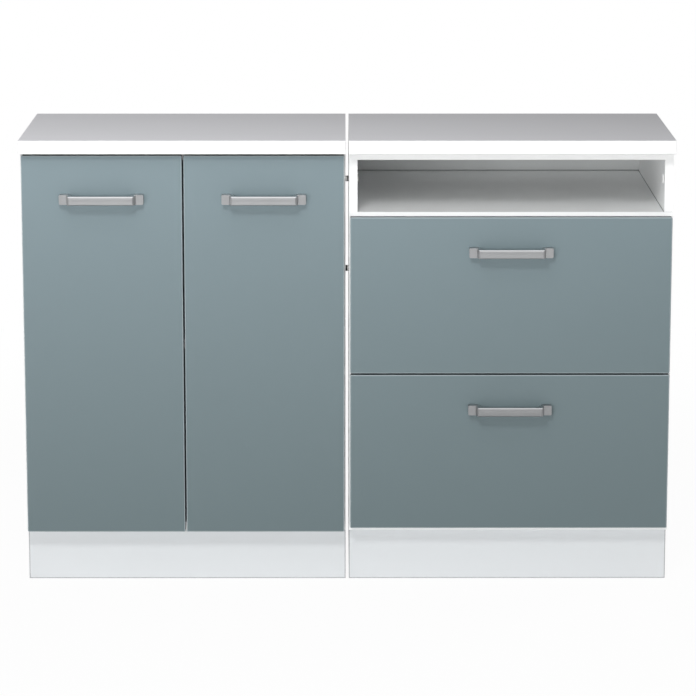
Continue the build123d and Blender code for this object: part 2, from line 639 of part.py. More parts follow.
def build_door(door):
    """A door panel with its cups, pins, screws, bumpers and handle."""
    def across(setback):
        return door.edge_x + door.inward * setback

    middle_x = across(door_middle)
    handle_points = handle_screw_points(middle_x, door_handle_z)
    cup_points = [(across(CUP_SETBACK), z) for z in hinge_zs]
    cup_screw_points = [
        (across(CUP_SCREW_SETBACK), z + side * CUP_SCREW_SPACING / 2) for z in hinge_zs for side in (-1, 1)
    ]
    pin_x = across(HINGE_PIN_SETBACK)
    x_low, x_high = sorted((door.edge_x, across(door_width)))

    with BuildPart() as door_panel:
        front_panel(x_low, x_high, door_low_z, door_high_z)
        round_front_edges(door_panel)
        rods(door_back, cup_points, CUP_RADIUS, CUP_DEPTH, Mode.SUBTRACT)
        screw_holes(cup_seat, cup_screw_points, WOOD_SCREW, -1)
        screw_holes(door_back, handle_points, HANDLE_SCREW, -1)
    save(door_panel, f"{door.name}_panel")

    with BuildPart() as cups:
        rods(door_back, cup_points, CUP_RADIUS, CUP_DEPTH)
        with BuildSketch(door_back) as flanges:
            with Locations(*[(across((CUP_FLANGE_START + CUP_FLANGE_END) / 2), z) for z in hinge_zs]):
                RectangleRounded(
                    CUP_FLANGE_END - CUP_FLANGE_START, 2 * CUP_FLANGE_HALF, CUP_FLANGE_RADIUS
                )
        extrude(flanges.sketch, amount=-CUP_FLANGE)
        hollow = CUP_DEPTH + CUP_FLANGE - CUP_WALL
        rods(cup_seat, cup_points, CUP_RADIUS - CUP_WALL, hollow, Mode.SUBTRACT)
        # Lugs on the floor of the cup, on both sides of the arm
        lug_start = ARM_HALF + CUP_LUG_GAP
        lug_height = CUP_DEPTH - CUP_WALL - (FRONT_BOARD - HINGE_PIN_DEPTH) + HINGE_EYE_RADIUS
        for cup_x, z in cup_points:
            with BuildSketch(door_back.offset(CUP_DEPTH - CUP_WALL)) as lugs:
                for side in (-1, 1):
                    with Locations((pin_x, z + side * (lug_start + CUP_RADIUS) / 2)):
                        Rectangle(2 * HINGE_EYE_RADIUS, CUP_RADIUS - lug_start)
                with Locations((cup_x, z)):
                    Circle(CUP_RADIUS - CUP_WALL / 2, mode=Mode.INTERSECT)
            extrude(lugs.sketch, amount=-lug_height)
            pin_start = Plane.XY.offset(z - HINGE_PIN_HALF)
            rods(pin_start, [(pin_x, pin_y)], HINGE_PIN_RADIUS, 2 * HINGE_PIN_HALF, Mode.SUBTRACT)
        screw_holes(cup_seat, cup_screw_points, WOOD_SCREW, -1)
    save(cups, f"{door.name}_hinge_cups")

    with BuildPart() as pins:
        for z in hinge_zs:
            pin_start = Plane.XY.offset(z - HINGE_PIN_HALF)
            rods(pin_start, [(pin_x, pin_y)], HINGE_PIN_RADIUS, 2 * HINGE_PIN_HALF)
    save(pins, f"{door.name}_hinge_pins")

    with BuildPart() as door_screws:
        screws(cup_seat, cup_screw_points, WOOD_SCREW, -1)
        screws(door_back, handle_points, HANDLE_SCREW, -1)
    save(door_screws, f"{door.name}_screws")

    bumper_x = across(door_width - BUMPER_INSET)
    bumper_points = [(bumper_x, door_low_z + BUMPER_RADIUS), (bumper_x, door_high_z - BUMPER_RADIUS)]
    with BuildPart() as bumpers:
        rods(door_back, bumper_points, BUMPER_RADIUS, BUMPER_CLEARANCE - FRONT_STANDOFF)
    save(bumpers, f"{door.name}_bumpers")

    build_handle(f"{door.name}_handle", middle_x, door_handle_z)


build_door(left_door)
build_door(right_door)

# Hinge arms and plates on the sides of the left unit
side_setback = BOARD - FRONT_REVEAL
arm_setback = side_setback + PLATE_THICKNESS
arm_outer_setback = arm_setback + ARM_THICKNESS
arm_end_y = carcass_front_y + ARM_BODY_END
strap = [
    (HINGE_PIN_SETBACK, pin_y - ARM_THICKNESS / 2),
    (arm_outer_setback, pin_y - ARM_THICKNESS / 2),
    (arm_outer_setback, arm_end_y),
    (arm_setback, arm_end_y),
    (arm_setback, pin_y + ARM_THICKNESS / 2),
    (HINGE_PIN_SETBACK, pin_y + ARM_THICKNESS / 2),
]
with BuildPart() as hinge_arms:
    for door in (left_door, right_door):
        for z in hinge_zs:
            pin_place = (door.edge_x + door.inward * HINGE_PIN_SETBACK, pin_y)
            with BuildSketch(Plane.XY.offset(z)) as arm:
                Polygon(*[(door.edge_x + door.inward * setback, y) for setback, y in strap])
                with Locations(pin_place):
                    Circle(HINGE_EYE_RADIUS)
                    Circle(HINGE_PIN_RADIUS + HINGE_PIN_CLEARANCE, mode=Mode.SUBTRACT)
            extrude(arm.sketch, amount=ARM_HALF, both=True)
            body_x = door.edge_x + door.inward * arm_setback
            body_low_y = carcass_front_y + ARM_BODY_START
            body_outline = section_outline(body_low_y, arm_end_y, z - ARM_BODY_HALF, z + ARM_BODY_HALF)
            board(body_outline, body_x, body_x + door.inward * ARM_BODY_THICKNESS)
save(hinge_arms, "hinge_arms")

with BuildPart() as hinge_plates:
    for door in (left_door, right_door):
        plate_x = door.edge_x + door.inward * side_setback
        arm_x = plate_x + door.inward * PLATE_THICKNESS
        plate_low_y = carcass_front_y + PLATE_START
        plate_high_y = carcass_front_y + PLATE_END
        wing_low_y = carcass_front_y + SYSTEM_SETBACK - WING_WIDTH / 2
        for z in hinge_zs:
            board(section_outline(plate_low_y, plate_high_y, z - PLATE_HALF, z + PLATE_HALF), plate_x, arm_x)
            wing_outline = section_outline(wing_low_y, wing_low_y + WING_WIDTH, z - WING_HALF, z + WING_HALF)
            board(wing_outline, plate_x, arm_x)
        screw_holes(Plane.YZ.offset(arm_x), hinge_screw_points, EURO_SCREW, door.inward)
save(hinge_plates, "hinge_plates")

# Drawers and their runners
runner_sides = ((right_unit.left + BOARD, 1), (right_unit.right - BOARD, -1))
front_roller_y = runner_front_y + ROLLER_END
rear_roller_y = box_rear_y - ROLLER_END
front_roller_rise = running_flange_rise - ROLL_GAP - ROLLER_RADIUS
rear_roller_rise = runner_floor_rise + ROLL_GAP + ROLLER_RADIUS
axle_end = ROLLER_SIDE_GAP + ROLLER_WIDTH


def build_rollers(name, y, z):
    """The two rollers of one axis, each on its own stub axle."""
    with BuildPart() as rollers:
        for x, inward in runner_sides:
            roller_face = Plane.YZ.offset(x + inward * ROLLER_SIDE_GAP)
            rods(roller_face, [(y, z)], ROLLER_RADIUS, inward * ROLLER_WIDTH)
            bore_radius = AXLE_RADIUS + AXLE_CLEARANCE
            rods(roller_face, [(y, z)], bore_radius, inward * ROLLER_WIDTH, Mode.SUBTRACT)
    save(rollers, name)


with BuildPart() as runner_rails:
    for drawer in drawers:
        rail_low_z = drawer.box_z + RUNNER_RISE
        for x, inward in runner_sides:
            channel = [
                (0, 0),
                (RUNNER_REACH, 0),
                (RUNNER_REACH, SHEET),
                (SHEET, SHEET),
                (SHEET, runner_height - SHEET),
                (RUNNER_REACH, runner_height - SHEET),
                (RUNNER_REACH, runner_height),
                (0, runner_height),
            ]
            with BuildSketch(Plane.XZ.offset(-runner_front_y)) as profile:
                Polygon(*[(x + inward * reach, rail_low_z + rise) for reach, rise in channel])
            extrude(profile.sketch, amount=-runner_length)
            axle_place = [(front_roller_y, drawer.box_z + front_roller_rise)]
            rods(Plane.YZ.offset(x), axle_place, AXLE_RADIUS, inward * axle_end)
    for x, inward in runner_sides:
        screw_holes(Plane.YZ.offset(x + inward * SHEET), runner_screw_points, EURO_SCREW, inward)
save(runner_rails, "runner_rails")

with BuildPart() as euro_screws:
    for door in (left_door, right_door):
        screw_seat = Plane.YZ.offset(door.edge_x + door.inward * arm_setback)
        screws(screw_seat, hinge_screw_points, EURO_SCREW, door.inward)
    for x, inward in runner_sides:
        screws(Plane.YZ.offset(x + inward * SHEET), runner_screw_points, EURO_SCREW, inward)
save(euro_screws, "euro_screws")


def build_drawer(drawer):
    """A drawer: front, metal sides, bottom, back, gallery rails, handle, screws and rollers."""
    middle_x = (right_unit.left + right_unit.right) / 2
    handle_z = drawer.low_z + drawer_front_height - DRAWER_HANDLE_DROP
    handle_points = handle_screw_points(middle_x, handle_z)
    web_reach = RUNNER_SPACE + SHEET
    lip_reach = RUNNER_SPACE + BOX_LIP
    screw_reach = (web_reach + lip_reach) / 2
    screw_points = [
        (x + inward * screw_reach, drawer.box_z + rise)
        for x, inward in runner_sides
        for rise in BOX_SCREW_RISES
    ]
    front_seat = Plane.XZ.offset(-(front_back_y + SHEET))
    rear_seat = Plane.XZ.offset(-box_rear_y)
    board_low_y = front_back_y + SHEET
    board_high_y = box_rear_y - SHEET
    back_low_y = board_high_y - BOARD
    bottom_low_z = drawer.box_z + SHEET
    board_inset = BOARD + web_reach + BOX_BOARD_GAP
    board_low_x = right_unit.left + board_inset
    board_high_x = right_unit.right - board_inset

    with BuildPart() as drawer_front:
        front_low_x = right_unit.left + FRONT_REVEAL
        front_high_x = right_unit.right - FRONT_REVEAL
        front_panel(front_low_x, front_high_x, drawer.low_z, drawer.low_z + drawer_front_height)
        round_front_edges(drawer_front)
        screw_holes(front_seat, screw_points, WOOD_SCREW, -1)
        screw_holes(door_back, handle_points, HANDLE_SCREW, -1)
    save(drawer_front, f"{drawer.name}_front")

    with BuildPart() as box_sides:
        for x, inward in runner_sides:
            profiles = (
                (RUNNER_SPACE, web_reach, 0, BOX_SIDE_HEIGHT),
                (RUNNER_SPACE, lip_reach, 0, SHEET),
                (ROLLER_SIDE_GAP, web_reach, running_flange_rise, running_flange_rise + SHEET),
            )
            for near, far, low, high in profiles:
                flange_outline = section_outline(
                    front_back_y, box_rear_y, drawer.box_z + low, drawer.box_z + high
                )
                board(flange_outline, x + inward * near, x + inward * far)
            for end_y in (front_back_y, board_high_y):
                end_outline = section_outline(
                    end_y, end_y + SHEET, drawer.box_z, drawer.box_z + BOX_SIDE_HEIGHT
                )
                board(end_outline, x + inward * RUNNER_SPACE, x + inward * lip_reach)
            axle_place = [(rear_roller_y, drawer.box_z + rear_roller_rise)]
            axle_length = ROLLER_SIDE_GAP - RUNNER_SPACE
            rods(Plane.YZ.offset(x + inward * RUNNER_SPACE), axle_place, AXLE_RADIUS, inward * axle_length)
        screw_holes(front_seat, screw_points, WOOD_SCREW, -1)
        screw_holes(rear_seat, screw_points, WOOD_SCREW, -1)
    save(box_sides, f"{drawer.name}_sides")

    with BuildPart() as box_bottom:
        bottom_section = section_outline(board_low_y, board_high_y, bottom_low_z, bottom_low_z + BOARD)
        board(bottom_section, board_low_x, board_high_x)
    save(box_bottom, f"{drawer.name}_bottom")

    with BuildPart() as box_back:
        back_section = section_outline(
            back_low_y, board_high_y, bottom_low_z + BOARD, drawer.box_z + BOX_BACK_HEIGHT
        )
        board(back_section, board_low_x, board_high_x)
        screw_holes(rear_seat, screw_points, WOOD_SCREW, -1)
    save(box_back, f"{drawer.name}_back")

    with BuildPart() as gallery_rails:
        rail_reach = web_reach + GALLERY_INSET + GALLERY_RADIUS
        rail_z = drawer.box_z + BOX_BACK_HEIGHT - GALLERY_DROP
        rail_points = [(x + inward * rail_reach, rail_z) for x, inward in runner_sides]
        rods(door_back, rail_points, GALLERY_RADIUS, front_back_y - back_low_y)
    save(gallery_rails, f"{drawer.name}_gallery_rails")

    with BuildPart() as drawer_screws:
        screws(front_seat, screw_points, WOOD_SCREW, -1)
        screws(rear_seat, screw_points, WOOD_SCREW, -1)
        screws(door_back, handle_points, HANDLE_SCREW, -1)
    save(drawer_screws, f"{drawer.name}_screws")

    build_handle(f"{drawer.name}_handle", middle_x, handle_z)
    build_rollers(f"{drawer.name}_front_rollers", front_roller_y, drawer.box_z + front_roller_rise)
    build_rollers(f"{drawer.name}_rear_rollers", rear_roller_y, drawer.box_z + rear_roller_rise)


for drawer in drawers:
    build_drawer(drawer)
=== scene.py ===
import json
import math

import bpy
from mathutils import Euler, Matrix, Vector


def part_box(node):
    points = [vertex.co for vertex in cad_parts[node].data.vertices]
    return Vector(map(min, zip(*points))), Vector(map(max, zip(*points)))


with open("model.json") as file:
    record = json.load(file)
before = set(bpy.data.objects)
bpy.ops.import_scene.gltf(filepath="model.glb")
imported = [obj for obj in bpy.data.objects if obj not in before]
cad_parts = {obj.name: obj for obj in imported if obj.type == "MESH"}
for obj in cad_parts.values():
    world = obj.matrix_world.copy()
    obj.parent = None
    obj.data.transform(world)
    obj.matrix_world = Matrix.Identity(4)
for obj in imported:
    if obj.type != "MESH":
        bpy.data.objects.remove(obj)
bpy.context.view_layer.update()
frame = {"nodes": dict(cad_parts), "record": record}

# Places read from the frame, in metres
carcass_low, carcass_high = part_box("left_unit_outer_side")
worktop_low, worktop_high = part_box("left_unit_worktop")
plinth_low, plinth_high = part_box("plinth_long_boards")
slope_low, slope_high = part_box("left_unit_sloped_back")
niche_floor_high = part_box("niche_floor")[1]
spacers_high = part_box("connector_spacers")[1]
front_names = ("left_door_panel", "right_door_panel", "upper_drawer_front", "lower_drawer_front")
fronts = [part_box(name) for name in front_names]
front_face_y = fronts[0][0].y
front_back_y = fronts[0][1].y
unit_end_x = -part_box("left_unit_inner_side")[1].x  # half the gap between the units
slope_fall = (slope_high.z - slope_low.z) / (slope_high.y - slope_low.y)
slope_sum = slope_high.z + worktop_high.y * slope_fall  # of z and the fallen y, on the roof plane

# How far the finish of a face reaches into the board behind it, in metres
FACE_SKIN = 0.0003
RAW_SKIN = 0.0004
SLOPE_SKIN = 0.0006
NICHE_SKIN = 0.0002

# A face whose normal's y is above this looks to the rear
REAR_FACING = 0.3

# Lines and edges that the materials draw, in metres
FRONT_RIM = 0.0016  # width of the rounded rim, seen from the front, which carries a painted highlight
FRONT_ROUNDING = 0.0018  # depth of the same rim
FRONT_BAND_AND_SHADE_START = 0.0026  # from the face to the darker edge band, which is partly painted shade for the gaps between the fronts
EDGE_BAND = 0.001  # thickness of the band on a board's front edge
BAND_JOINT = 0.00015  # half the width of the line behind that band
NICHE_JOINT_AND_SHADE = 0.0016  # width of the dark joints around the niche floor, wider than a joint as painted corner shade
PLINTH_SHADE_LINE = 0.0018  # width of the grey outline of a plinth's face, painted shade at its foot and ends
SPACER_SPAN = 0.02  # more than one spacer's height, less than the step between two

# How strongly these lines show
RIM_HIGHLIGHT_SHARE = 0.4
BAND_JOINT_SHARE = 0.25
NICHE_JOINT_AND_SHADE_SHARE = 0.8
PLINTH_SHADE_LINE_SHARE = 0.75

# Painted light and shade: slow changes of tone over the object, where the lamps' light would fall off
FOIL_LIGHT_LEAN = 0.12  # the foil's painted light rises with z, less this times x
FOIL_PAINTED_LIGHT_TOP_Z = 0.92
FOIL_LIGHT_CURVE = 1.5
WORKTOP_SHADE_LEAN = 0.4  # the worktop's tone falls with y, plus this times x, as painted shade towards the back and the right
WORKTOP_SHADE_RANGE = (-0.47, 0.28)  # the values of that sum over which it falls
HANDLE_SHADE_HEIGHTS = (0.3, 0.78)  # the heights over which the handles' painted shade lifts, so the lower handles are darker

# Strengths of the world, as light, to the camera and in gloss
WORLD_LIGHT = 0.38
CAMERA_WHITE = 1.0
GLOSS_LEFT = 1.9
GLOSS_RIGHT = 0.15
GLOSS_BEHIND = 0.3
GLOSS_ABOVE = 1.8
# The parts of a direction 1 long between which the gloss changes
GLOSS_SIDEWAYS = (-0.9, 0.9)
GLOSS_FORWARDS = (0.2, -0.4)
GLOSS_UPWARDS = (0.35, 0.85)

# Floor, in metres, and the share of its own light that the camera and gloss see
FLOOR_SIZE = 90.0
FLOOR_TONE = 0.85
FLOOR_GLOW_REACH = (0.9, 2.4)
FLOOR_GLOW = (0.95, 1.0)
FLOOR_GLOSS = 0.3

# Camera and lamps, in metres, the lens in millimetres and the turns in degrees
CAMERA_PLACE = (-0.0075, -6.243, 1.656)
CAMERA_PITCH = 11.383
CAMERA_YAW = 0.086
LEVEL = 90.0  # about X, for a camera that looks level
LENS = 169.38
SENSOR_WIDTH = 36.0
LAMP_TARGET = (0, -0.25, 0.5)


# Colours
def linear(red, green, blue):
    """A colour given as 8-bit sRGB, as the renderer's linear one."""
    def channel(value):
        value = value / 255
        return value / 12.92 if value <= 0.04045 else ((value + 0.055) / 1.055) ** 2.4
    return (channel(red), channel(green), channel(blue), 1.0)


WHITE_LIGHT = (1, 1, 1, 1)
# Grey of the joint lines, and of the painted corner shade at the niche floor
JOINT_AND_SHADE_GREY = linear(120, 122, 124)


# Sockets of the colour mix node, whose names are shared with other sockets of it
MIX_SHARE = 0
MIX_FIRST = 6
MIX_SECOND = 7
MIX_RESULT = 2


# Node trees
class Nodes:
    """A node tree, with short calls for the nodes that several trees use."""

    def __init__(self, tree):
        self.tree = tree

    def feed(self, socket, value):
        """Link a socket to another, or set it to a value."""
        if isinstance(value, bpy.types.NodeSocket):
            self.tree.links.new(value, socket)
        else:
            socket.default_value = value

    def node(self, kind, **inputs):
        """A shader node, with its inputs fed by name."""
        made = self.tree.nodes.new("ShaderNode" + kind)
        for name, value in inputs.items():
            self.feed(made.inputs[name.replace("_", " ")], value)
        return made

    def math(self, operation, *values):
        made = self.tree.nodes.new("ShaderNodeMath")
        made.operation = operation
        for socket, value in zip(made.inputs, values):
            self.feed(socket, value)
        return made.outputs[0]

    def ramp(self, value, low, high, to_low=0.0, to_high=1.0, smooth=False):
        """A value from low to high, turned into one from to_low to to_high."""
        ends = {"From_Min": low, "From_Max": high, "To_Min": to_low, "To_Max": to_high}
        made = self.node("MapRange", Value=value, **ends)
        made.interpolation_type = "SMOOTHSTEP" if smooth else "LINEAR"
        return made.outputs["Result"]

    def blend(self, share, first, second):
        """The first number where the share is 0, and the second where it is 1."""
        return self.ramp(share, 0, 1, first, second)


class Shade(Nodes):
    """The node tree of one material."""

    def __init__(self, name, metallic=0.0, specular=0.5):
        self.material = bpy.data.materials.new(name)
        self.material.use_nodes = True
        super().__init__(self.material.node_tree)
        self.shader = self.tree.nodes["Principled BSDF"]
        self.shader.inputs["Metallic"].default_value = metallic
        self.shader.inputs["Specular IOR Level"].default_value = specular
        place = self.tree.nodes.new("ShaderNodeTexCoord")
        self.place = place.outputs["Object"]
        self.normal = place.outputs["Normal"]
        self.x, self.y, self.z = self.split(self.place)

    def split(self, vector):
        parts = self.node("SeparateXYZ", Vector=vector)
        return [parts.outputs[axis] for axis in "XYZ"]

    def stretched(self, stretch):
        """The place on the object, scaled by a number for each axis."""
        return self.node("Mapping", Vector=self.place, Scale=stretch).outputs[0]

    def noise(self, scale, detail=2.0, roughness=0.5, stretch=(1, 1, 1)):
        """A smooth random value from 0 to 1, with this many features to the metre."""
        settings = {"Scale": scale, "Detail": detail, "Roughness": roughness}
        return self.node("TexNoise", Vector=self.stretched(stretch), **settings).outputs["Fac"]

    def cells(self, scale, stretch):
        """A random value for each cell of a Voronoi pattern."""
        made = self.node("TexVoronoi", Vector=self.stretched(stretch), Scale=scale)
        return self.node("SeparateColor", Color=made.outputs["Color"]).outputs[0]

    def mix(self, share, first, second, blend_type="MIX"):
        """The first colour where the share is 0, and the second where it is 1."""
        made = self.tree.nodes.new("ShaderNodeMix")
        made.data_type = "RGBA"
        made.blend_type = blend_type
        self.feed(made.inputs[MIX_SHARE], share)
        self.feed(made.inputs[MIX_FIRST], first)
        self.feed(made.inputs[MIX_SECOND], second)
        return made.outputs[MIX_RESULT]

    def vary(self, colour, value, low, high):
        """A colour multiplied by low where the value is 0, up to high where it is 1."""
        level = self.blend(value, low, high)
        grey = self.node("CombineColor", Red=level, Green=level, Blue=level)
        return self.mix(1.0, colour, grey.outputs[0], "MULTIPLY")

    # Masks, which are 1 where something holds and 0 elsewhere
    def above(self, value, limit):
        return self.math("GREATER_THAN", value, limit)

    def below(self, value, limit):
        return self.math("LESS_THAN", value, limit)

    def near(self, value, place, reach):
        return self.math("COMPARE", value, place, reach)

    def same(self, first, second):
        """Of two masks, where both are 1 or both are 0."""
        return self.near(first, second, 0.5)

    def inverse(self, mask):
        return self.math("SUBTRACT", 1.0, mask)

    def both(self, first, second):
        return self.math("MULTIPLY", first, second)

    def either(self, first, second):
        return self.math("MAXIMUM", first, second)

    def weaker(self, mask, share):
        return self.math("MULTIPLY", mask, share)

    def on_slope(self):
        """A mask of the faces that lie in the roof plane."""
        fallen = self.math("MULTIPLY", self.y, slope_fall)
        return self.above(self.math("ADD", fallen, self.z), slope_sum - SLOPE_SKIN)

    # The last steps of a material
    def bump(self, height, distance, strength):
        made = self.node("Bump", Height=height, Distance=distance, Strength=strength)
        self.feed(self.shader.inputs["Normal"], made.outputs[0])

    def finish(self, colour, pattern, smoothest, roughest):
        """Set the colour, and a roughness that follows a pattern, and return the material."""
        self.feed(self.shader.inputs["Base Color"], colour)
        self.feed(self.shader.inputs["Roughness"], self.blend(pattern, smoothest, roughest))
        return self.material


# Materials
def front_foil():
    """A satin blue-grey foil with a white back, with painted light that makes it lighter upwards and to
    the left, a painted highlight on the rim, and an edge band that is partly painted shade.
    """
    shade = Shade("front_foil", specular=0.45)
    dark, light = linear(97, 111, 114), linear(125, 141, 147)
    painted_rim_highlight, edge_band_and_gap_shade, back_tone = linear(196, 206, 210), linear(66, 78, 83), linear(226, 228, 229)
    grain = shade.noise(1600)
    # Painted light: the foil's tone rises upwards and to the left, as the lamps' light would fall on it
    height = shade.math("SUBTRACT", shade.z, shade.math("MULTIPLY", shade.x, FOIL_LIGHT_LEAN))
    level = shade.math("POWER", shade.ramp(height, 0.0, FOIL_PAINTED_LIGHT_TOP_Z), FOIL_LIGHT_CURVE)
    colour = shade.mix(level, dark, light)
    colour = shade.vary(colour, shade.noise(5, detail=3), 0.985, 1.015)
    colour = shade.vary(colour, grain, 0.975, 1.025)
    # Painted highlight: a paler tone on the rounded rim, where light would catch the edge
    rim_highlight = shade.both(front_rims(shade), shade.below(shade.y, front_face_y + FRONT_ROUNDING))
    colour = shade.mix(shade.weaker(rim_highlight, RIM_HIGHLIGHT_SHARE), colour, painted_rim_highlight)
    # The darker edge band: partly the foil's edge, partly painted shade for the gaps between the fronts
    colour = shade.mix(shade.above(shade.y, front_face_y + FRONT_BAND_AND_SHADE_START), colour, edge_band_and_gap_shade)
    colour = shade.mix(shade.above(shade.y, front_back_y - FACE_SKIN), colour, back_tone)
    shade.bump(shade.noise(900), distance=0.00002, strength=0.5)
    return shade.finish(colour, grain, 0.38, 0.46)


def front_rims(shade):
    """A mask of all that lies outside the flat middles of the four fronts, seen from the front."""
    middles = None
    for low, high in fronts:
        right_of, left_of = low.x + FRONT_RIM, high.x - FRONT_RIM
        over, under = low.z + FRONT_RIM, high.z - FRONT_RIM
        across = shade.both(shade.above(shade.x, right_of), shade.below(shade.x, left_of))
        upright = shade.both(shade.above(shade.z, over), shade.below(shade.z, under))
        middle = shade.both(across, upright)
        middles = middle if middles is None else shade.either(middles, middle)
    return shade.inverse(middles)


def chipboard(shade):
    """The colour of a raw chipboard edge: pressed flakes in a pale brown core."""
    dark, light = linear(178, 146, 108), linear(220, 194, 156)
    colour = shade.mix(shade.cells(420, stretch=(1, 1, 2.2)), dark, light)
    return shade.vary(colour, shade.noise(1500, detail=3), 0.8, 1.12)


def melamine(name, tone, draw_lines=None):
    """White laminated chipboard, raw on its rear and sloped edges, with lines that a function draws:
    joints, and on the plinth painted shade.
    """
    shade = Shade(name)
    pearl = shade.noise(1100, detail=3, roughness=0.6)
    colour = shade.vary(linear(*tone), shade.noise(4), 0.985, 1.01)
    colour = shade.vary(colour, pearl, 0.985, 1.015)
    if draw_lines:
        colour = draw_lines(shade, colour)
    raw = shade.either(shade.above(shade.y, carcass_high.y - RAW_SKIN), shade.on_slope())
    colour = shade.mix(raw, colour, chipboard(shade))
    shade.bump(pearl, distance=0.00003, strength=0.6)
    return shade.finish(colour, pearl, 0.34, 0.46)


def carcass_lines(shade, colour):
    """The line behind a board's front band, and a dark joint at the right of the niche floor, widened
    into painted corner shade.
    """
    band = shade.near(shade.y, carcass_low.y + EDGE_BAND, BAND_JOINT)
    on_floor = shade.near(shade.z, niche_floor_high.z, NICHE_SKIN)
    corner_joint_and_shade = shade.both(on_floor, shade.above(shade.x, niche_floor_high.x - NICHE_JOINT_AND_SHADE))
    band, corner_joint_and_shade = shade.weaker(band, BAND_JOINT_SHARE), shade.weaker(corner_joint_and_shade, NICHE_JOINT_AND_SHADE_SHARE)
    return shade.mix(shade.either(band, corner_joint_and_shade), colour, JOINT_AND_SHADE_GREY)


def plinth_shade_lines(shade, colour):
    """A greyer line along the foot and the ends of each plinth's face, as painted shade."""
    across = shade.math("ABSOLUTE", shade.x)
    outer_end = shade.above(across, plinth_high.x - PLINTH_SHADE_LINE)
    inner_end = shade.below(across, unit_end_x + PLINTH_SHADE_LINE)
    foot = shade.below(shade.z, plinth_low.z + PLINTH_SHADE_LINE)
    line = shade.either(shade.either(outer_end, inner_end), foot)
    line = shade.both(line, shade.below(shade.y, plinth_low.y + FACE_SKIN))
    return shade.mix(shade.weaker(line, PLINTH_SHADE_LINE_SHARE), colour, linear(150, 152, 154))


def back_board():
    """Thin fibreboard backs: white lacquer inside, a thinner coat with the fibres showing behind."""
    shade = Shade("back_board")
    dark_fibre, light_fibre = linear(206, 198, 184), linear(232, 229, 221)
    fibre = shade.noise(520, detail=5, roughness=0.65, stretch=(1, 1, 1.6))
    coat = shade.noise(9, detail=3, roughness=0.6)
    thin = shade.vary(shade.mix(fibre, dark_fibre, light_fibre), coat, 0.95, 1.03)
    white = shade.vary(linear(232, 234, 234), shade.noise(900), 0.985, 1.01)
    white = niche_rear_joint_and_shade(shade, white)
    facing_y = shade.split(shade.normal)[1]
    behind = shade.above(facing_y, REAR_FACING)
    shade.bump(fibre, distance=0.00008, strength=0.5)
    return shade.finish(shade.mix(behind, white, thin), coat, 0.42, 0.58)


def niche_rear_joint_and_shade(shade, colour):
    """The dark joint where the niche floor meets the back of the right unit, widened into painted corner
    shade.
    """
    in_right_unit = shade.above(shade.x, 0.0)
    on_floor = shade.both(shade.above(shade.z, niche_floor_high.z), in_right_unit)
    corner_joint_and_shade = shade.both(on_floor, shade.below(shade.z, niche_floor_high.z + NICHE_JOINT_AND_SHADE))
    return shade.mix(shade.weaker(corner_joint_and_shade, NICHE_JOINT_AND_SHADE_SHARE), colour, JOINT_AND_SHADE_GREY)


def worktop_laminate():
    """A laminate with white edges, whose top is painted a little greyer and darker towards the back and
    the right as painted shade, and a grey backing sheet below that is partly painted shade.
    """
    shade = Shade("worktop_laminate")
    grain = shade.noise(1300, detail=3, roughness=0.6)
    # Painted shade: the top is greyer than the edges, and darkens towards the back and the right as the
    # lamps' light falls off
    top_shade_slope = shade.math("ADD", shade.y, shade.math("MULTIPLY", shade.x, WORKTOP_SHADE_LEAN))
    top = shade.vary(linear(233, 233, 237), grain, 0.97, 1.03)
    top = shade.vary(top, shade.ramp(top_shade_slope, *WORKTOP_SHADE_RANGE), 1.06, 0.66)
    top = shade.vary(top, shade.noise(6, detail=3), 0.98, 1.02)
    edge = shade.vary(linear(245, 246, 246), grain, 0.99, 1.01)
    on_top = shade.above(shade.z, worktop_high.z - RAW_SKIN)
    below = shade.below(shade.z, worktop_low.z + RAW_SKIN)
    colour = shade.mix(on_top, edge, top)
    # The backing sheet is grey, and kept dark partly as painted shade for the strip under the worktop's
    # front edge
    colour = shade.mix(below, colour, linear(168, 166, 162))
    raw = shade.both(shade.on_slope(), shade.inverse(on_top))
    colour = shade.mix(raw, colour, chipboard(shade))
    shade.bump(grain, distance=0.00003, strength=0.6)
    return shade.finish(colour, grain, 0.3, 0.42)


def brushed_nickel():
    """Nickel brushed along the handles' bars, with painted shade that makes the lower handles darker."""
    shade = Shade("brushed_nickel", metallic=1.0)
    dark, light = linear(177, 178, 180), linear(185, 186, 187)
    brush = shade.noise(260, detail=4, roughness=0.65, stretch=(0.12, 1, 9))
    colour = shade.mix(shade.noise(24, detail=3), dark, light)
    colour = shade.vary(colour, brush, 0.92, 1.06)
    # Painted shade: the lower handles are darker, as the light falls off downwards
    colour = shade.vary(colour, shade.ramp(shade.z, *HANDLE_SHADE_HEIGHTS), 0.72, 1.02)
    shade.bump(brush, distance=0.00003, strength=0.4)
    return shade.finish(colour, brush, 0.25, 0.33)


def plated_steel(name, tone, grain_scale):
    """Zinc-plated steel, cloudy and finely grained."""
    shade = Shade(name, metallic=1.0)
    grain = shade.noise(grain_scale, detail=3, roughness=0.6)
    cloud = shade.noise(60, detail=3)
    colour = shade.vary(linear(*tone), cloud, 0.9, 1.06)
    colour = shade.vary(colour, grain, 0.93, 1.06)
    shade.bump(grain, distance=0.00003, strength=0.4)
    return shade.finish(colour, cloud, 0.24, 0.42)


def runner_enamel():
    """White powder coat, with its fine orange peel."""
    shade = Shade("runner_enamel")
    peel = shade.noise(620)
    colour = shade.vary(linear(232, 233, 231), shade.noise(40), 0.97, 1.01)
    shade.bump(peel, distance=0.00006, strength=0.5)
    return shade.finish(colour, peel, 0.28, 0.4)


def plastic(name, tone, roughness, spread=0.06):
    """Plain moulded plastic or rubber, with a roughness that varies by the spread."""
    shade = Shade(name)
    grain = shade.noise(1400)
    colour = shade.vary(linear(*tone), shade.noise(90), 0.95, 1.03)
    shade.bump(grain, distance=0.00002, strength=0.5)
    return shade.finish(colour, grain, roughness - spread, roughness + spread)


